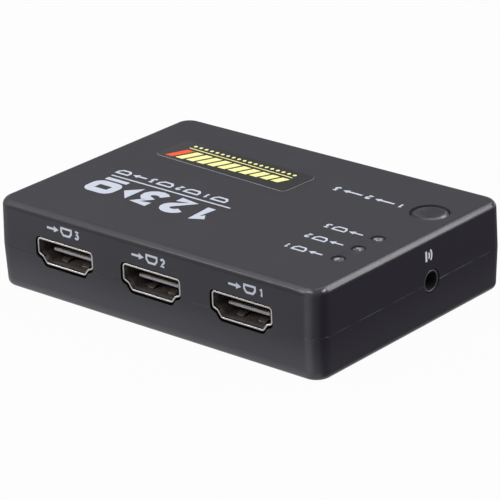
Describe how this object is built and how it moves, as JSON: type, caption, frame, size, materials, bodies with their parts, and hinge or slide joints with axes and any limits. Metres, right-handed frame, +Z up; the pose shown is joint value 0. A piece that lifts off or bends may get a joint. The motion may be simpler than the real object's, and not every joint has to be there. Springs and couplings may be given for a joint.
{
  "type": "video switch box",
  "caption": "Low black plastic video switch box with input sockets in a row, an output socket behind, a flush select button, indicator lamps and a side jack for a remote receiver.",
  "frame": {"origin": "under the middle of the case, on the surface that the feet stand on", "axes": "+X along the input face to the right as one faces it, +Y from the input face to the output face, +Z up"},
  "size_m": [0.082, 0.0578, 0.0194],
  "materials": {
    "case_black": "satin black plastic with a fine moulded texture",
    "button_black": "satin black plastic, smoother than the case",
    "label_gloss": "glossy black film",
    "lamp_milky": "milky resin",
    "socket_metal": "bright plated sheet metal",
    "socket_plastic": "grey moulded plastic",
    "contact_gold": "thin gold plating",
    "tinned_steel": "tin plating",
    "screw_steel": "zinc plating",
    "board_green": "green board with a clear coat",
    "chip_black": "black moulded resin",
    "jack_black": "smooth black plastic",
    "can_aluminium": "bare drawn can",
    "ceramic_tan": "fired ceramic with tinned ends",
    "resistor_black": "glazed ceramic with tinned ends",
    "foot_rubber": "soft matte rubber"
  },
  "bodies": {
    "case": {"top_shell": "case_black", "bottom_shell": "case_black", "top_label": "label_gloss", "rubber_feet": "foot_rubber", "case_screws": "screw_steel", "circuit_board": "board_green", "input_1_shell": "socket_metal", "input_1_insert": "socket_plastic", "input_1_contacts": "contact_gold", "input_2_shell": "socket_metal", "input_2_insert": "socket_plastic", "input_2_contacts": "contact_gold", "input_3_shell": "socket_metal", "input_3_insert": "socket_plastic", "input_3_contacts": "contact_gold", "output_shell": "socket_metal", "output_insert": "socket_plastic", "output_contacts": "contact_gold", "switch_base": "chip_black", "switch_cover": "tinned_steel", "switch_dome": "tinned_steel", "switch_legs": "tinned_steel", "lamp_1": "lamp_milky", "lamp_2": "lamp_milky", "lamp_3": "lamp_milky", "lamp_leads": "tinned_steel", "remote_jack_body": "jack_black", "remote_jack_contacts": "tinned_steel", "power_inlet_body": "jack_black", "power_inlet_pin": "tinned_steel", "power_inlet_contacts": "tinned_steel", "switch_chip": "chip_black", "switch_chip_leads": "tinned_steel", "control_chip": "chip_black", "control_chip_leads": "tinned_steel", "regulator": "chip_black", "regulator_leads": "tinned_steel", "power_capacitor": "can_aluminium", "chip_capacitors": "ceramic_tan", "chip_resistors": "resistor_black"},
    "button": {"select_button": "button_black", "switch_plunger": "chip_black"}
  },
  "joints": [
    {"name": "button_press", "type": "slide", "parent": "case", "child": "button", "axis": [0, 0, -1], "range_m": [0, 0.0003], "stiffness_N_per_m": 2000, "springref_m": -0.0005, "deforming": ["switch_dome"]}
  ]
}
